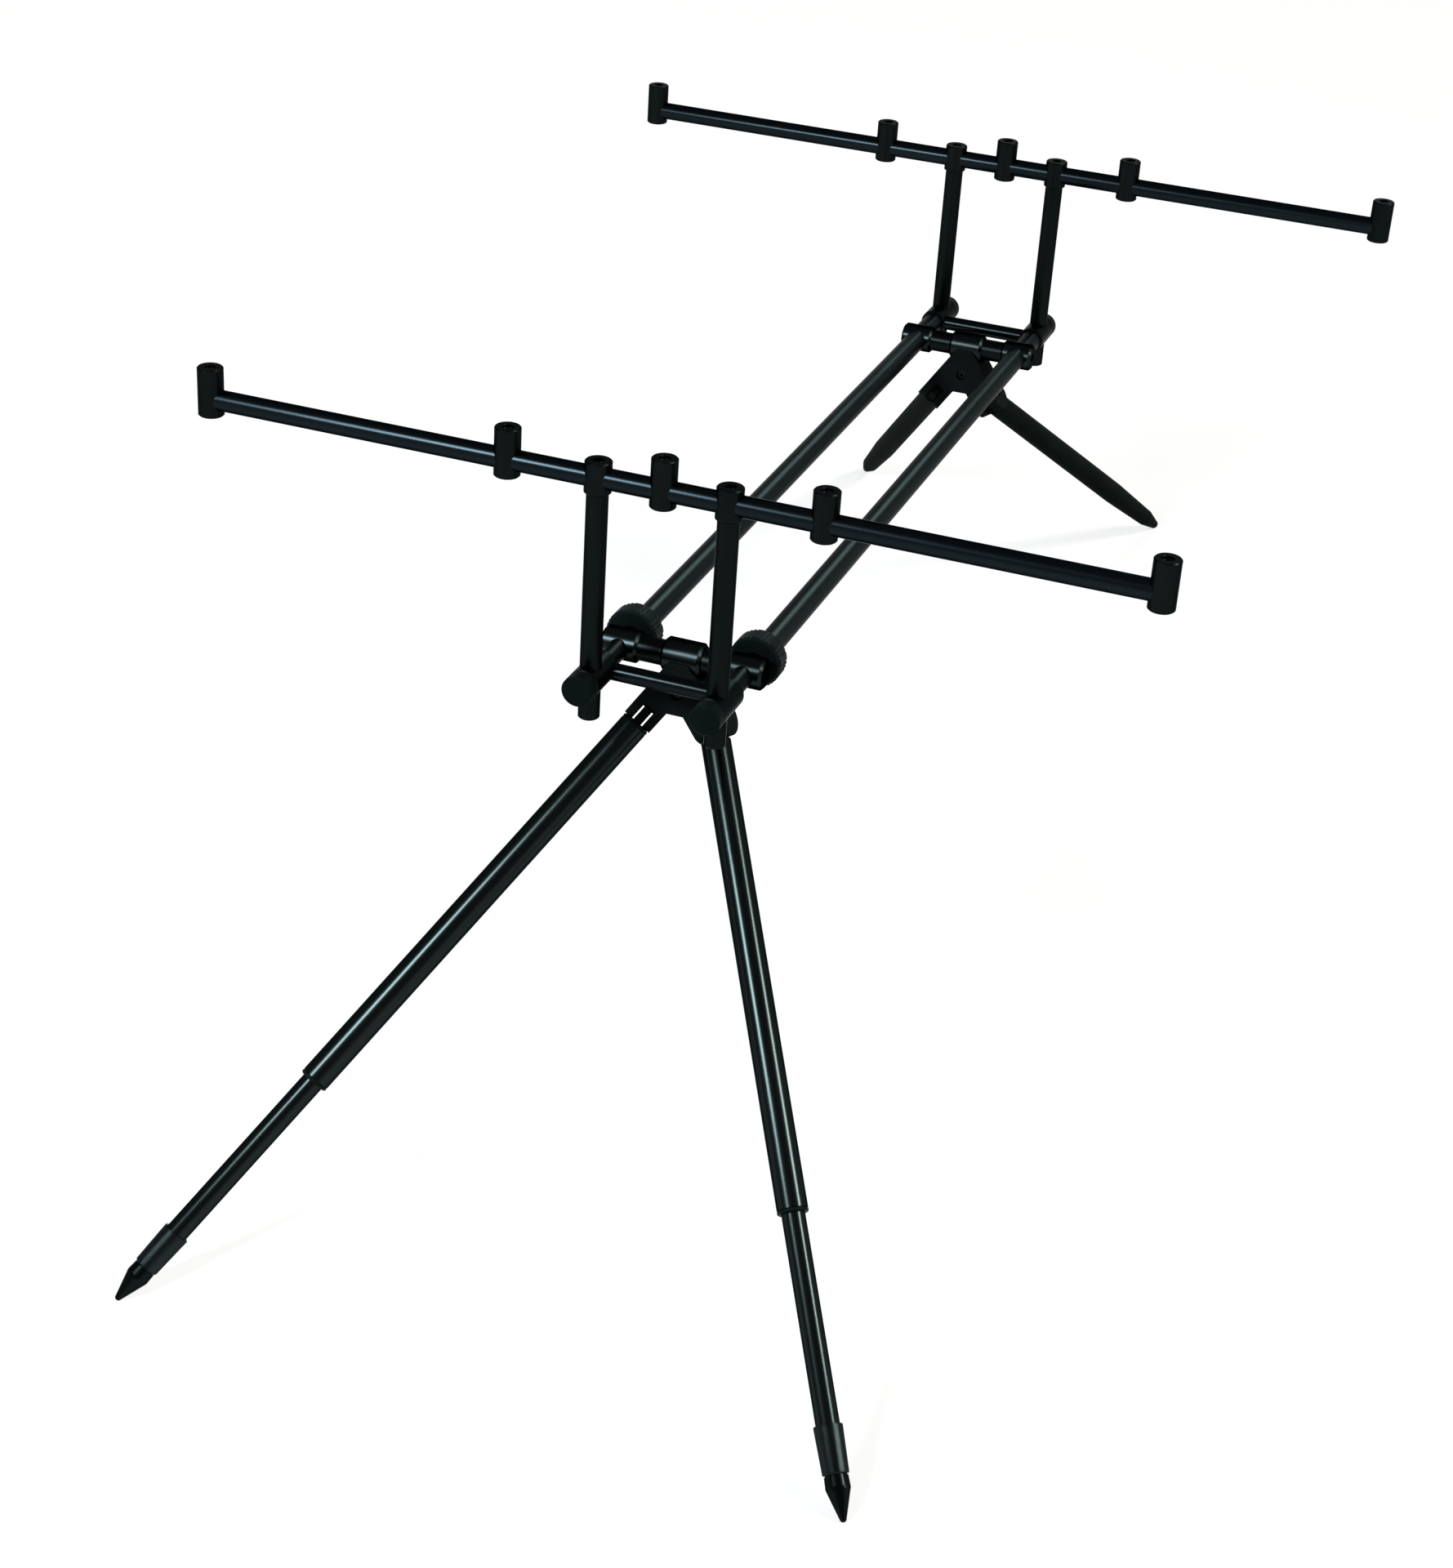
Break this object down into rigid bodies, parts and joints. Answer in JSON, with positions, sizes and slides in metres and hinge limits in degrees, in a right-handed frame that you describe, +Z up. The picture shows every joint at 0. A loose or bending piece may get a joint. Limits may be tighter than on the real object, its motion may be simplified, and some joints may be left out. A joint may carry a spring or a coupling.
{
  "type": "rod pod",
  "caption": "Free-standing rod pod: buzz bars with screw sockets on sliding uprights, telescopic rails, folding telescopic front legs and short folding rear legs.",
  "frame": {"origin": "on the floor, under the middle of the overall box", "axes": "+X to the right seen from the front, +Y from the front bar to the rear bar, +Z up"},
  "size_m": [0.7192, 1.3468, 0.5586],
  "materials": {
    "anodised_tube": "satin black anodised",
    "turned_black": "turned, satin black anodised",
    "coated_casting": "matt black coat",
    "moulded_black": "moulded, fine satin",
    "matt_leg": "matt black",
    "foot_grip": "knurled, satin black anodised",
    "nylon": "plain moulded",
    "screw_steel": "black oxide"
  },
  "bodies": {
    "rear_frame": {"rail_tube_left": "anodised_tube", "rail_tube_right": "anodised_tube", "rail_collars": "moulded_black", "rail_collets": "nylon", "rear_axle_shaft": "turned_black", "rear_axle_bosses": "turned_black", "rear_axle_screws": "screw_steel", "rear_bracket": "coated_casting", "rear_bracket_screw": "screw_steel", "rear_pivot_pins": "screw_steel", "rear_head_left": "coated_casting", "rear_head_right": "coated_casting", "rear_crossbar": "anodised_tube"},
    "front_frame": {"inner_rail_left": "anodised_tube", "inner_rail_right": "anodised_tube", "front_axle_shaft": "turned_black", "front_axle_bosses": "turned_black", "front_axle_screws": "screw_steel", "front_bracket": "coated_casting", "front_bracket_screw": "screw_steel", "front_pivot_pins": "screw_steel", "front_head_left": "coated_casting", "front_head_right": "coated_casting", "front_crossbar": "anodised_tube"},
    "locknut_left": {"locknut_left": "moulded_black"},
    "locknut_right": {"locknut_right": "moulded_black"},
    "front_knob_left": {"front_knob_left": "moulded_black"},
    "front_knob_right": {"front_knob_right": "moulded_black"},
    "front_bar": {"front_bar_tube": "anodised_tube", "front_bar_sockets": "anodised_tube", "front_upright_left": "anodised_tube", "front_upright_right": "anodised_tube", "front_upright_caps": "anodised_tube", "front_cap_screws": "screw_steel"},
    "front_leg_left": {"front_leg_hinge_left": "turned_black", "front_leg_tube_left": "anodised_tube", "front_leg_bush_left": "nylon"},
    "front_leg_slider_left": {"front_leg_inner_left": "anodised_tube", "front_leg_expander_left": "nylon", "front_foot_sleeve_left": "foot_grip", "front_spike_left": "turned_black"},
    "front_leg_right": {"front_leg_hinge_right": "turned_black", "front_leg_tube_right": "anodised_tube", "front_leg_bush_right": "nylon"},
    "front_leg_slider_right": {"front_leg_inner_right": "anodised_tube", "front_leg_expander_right": "nylon", "front_foot_sleeve_right": "foot_grip", "front_spike_right": "turned_black"},
    "rear_knob_left": {"rear_knob_left": "moulded_black"},
    "rear_knob_right": {"rear_knob_right": "moulded_black"},
    "rear_bar": {"rear_bar_tube": "anodised_tube", "rear_bar_sockets": "anodised_tube", "rear_upright_left": "anodised_tube", "rear_upright_right": "anodised_tube", "rear_upright_caps": "anodised_tube", "rear_cap_screws": "screw_steel"},
    "rear_leg_left": {"rear_leg_left": "matt_leg"},
    "rear_leg_right": {"rear_leg_right": "matt_leg"}
  },
  "joints": [
    {"name": "rail_slide", "type": "slide", "parent": "rear_frame", "child": "front_frame", "axis": [0, -0.9912, 0.132], "range_m": [0, 0.3]},
    {"name": "locknut_left_turn", "type": "hinge", "parent": "rear_frame", "child": "locknut_left", "pos_m": [-0.0485, -0.23743, 0.36864], "axis": [0, -0.9912, 0.132], "range_deg": [0, 180]},
    {"name": "locknut_right_turn", "type": "hinge", "parent": "rear_frame", "child": "locknut_right", "pos_m": [0.0485, -0.23743, 0.36864], "axis": [0, -0.9912, 0.132], "range_deg": [0, 180]},
    {"name": "front_knob_left_turn", "type": "hinge", "parent": "front_frame", "child": "front_knob_left", "pos_m": [-0.0485, -0.34117, 0.38246], "axis": [0, -0.9912, 0.132], "range_deg": [0, 270]},
    {"name": "front_knob_right_turn", "type": "hinge", "parent": "front_frame", "child": "front_knob_right", "pos_m": [0.0485, -0.34117, 0.38246], "axis": [0, -0.9912, 0.132], "range_deg": [0, 270]},
    {"name": "front_bar_lift", "type": "slide", "parent": "front_frame", "child": "front_bar", "axis": [0, 0.132, 0.9912], "range_m": [-0.045, 0.02]},
    {"name": "front_leg_left_fold", "type": "hinge", "parent": "front_frame", "child": "front_leg_left", "pos_m": [-0.02437, -0.26606, 0.32568], "axis": [0.829, -0.0738, -0.5543], "range_deg": [0, 128]},
    {"name": "front_leg_left_extend", "type": "slide", "parent": "front_leg_left", "child": "front_leg_slider_left", "axis": [-0.4376, -0.7027, -0.5609], "range_m": [-0.135, 0.11]},
    {"name": "front_leg_right_fold", "type": "hinge", "parent": "front_frame", "child": "front_leg_right", "pos_m": [0.02437, -0.26606, 0.32568], "axis": [0.829, 0.0738, 0.5543], "range_deg": [0, 128]},
    {"name": "front_leg_right_extend", "type": "slide", "parent": "front_leg_right", "child": "front_leg_slider_right", "axis": [0.4376, -0.7027, -0.5609], "range_m": [-0.135, 0.11]},
    {"name": "rear_knob_left_turn", "type": "hinge", "parent": "rear_frame", "child": "rear_knob_left", "pos_m": [-0.0485, 0.55641, 0.2629], "axis": [0, 0.9912, -0.132], "range_deg": [0, 270]},
    {"name": "rear_knob_right_turn", "type": "hinge", "parent": "rear_frame", "child": "rear_knob_right", "pos_m": [0.0485, 0.55641, 0.2629], "axis": [0, 0.9912, -0.132], "range_deg": [0, 270]},
    {"name": "rear_bar_lift", "type": "slide", "parent": "rear_frame", "child": "rear_bar", "axis": [0, 0.132, 0.9912], "range_m": [-0.045, 0.02]},
    {"name": "rear_leg_left_fold", "type": "hinge", "parent": "rear_frame", "child": "rear_leg_left", "pos_m": [-0.02437, 0.46162, 0.22875], "axis": [0.829, -0.0738, -0.5543], "range_deg": [-133, 0]},
    {"name": "rear_leg_right_fold", "type": "hinge", "parent": "rear_frame", "child": "rear_leg_right", "pos_m": [0.02437, 0.46162, 0.22875], "axis": [0.829, 0.0738, 0.5543], "range_deg": [-133, 0]}
  ]
}
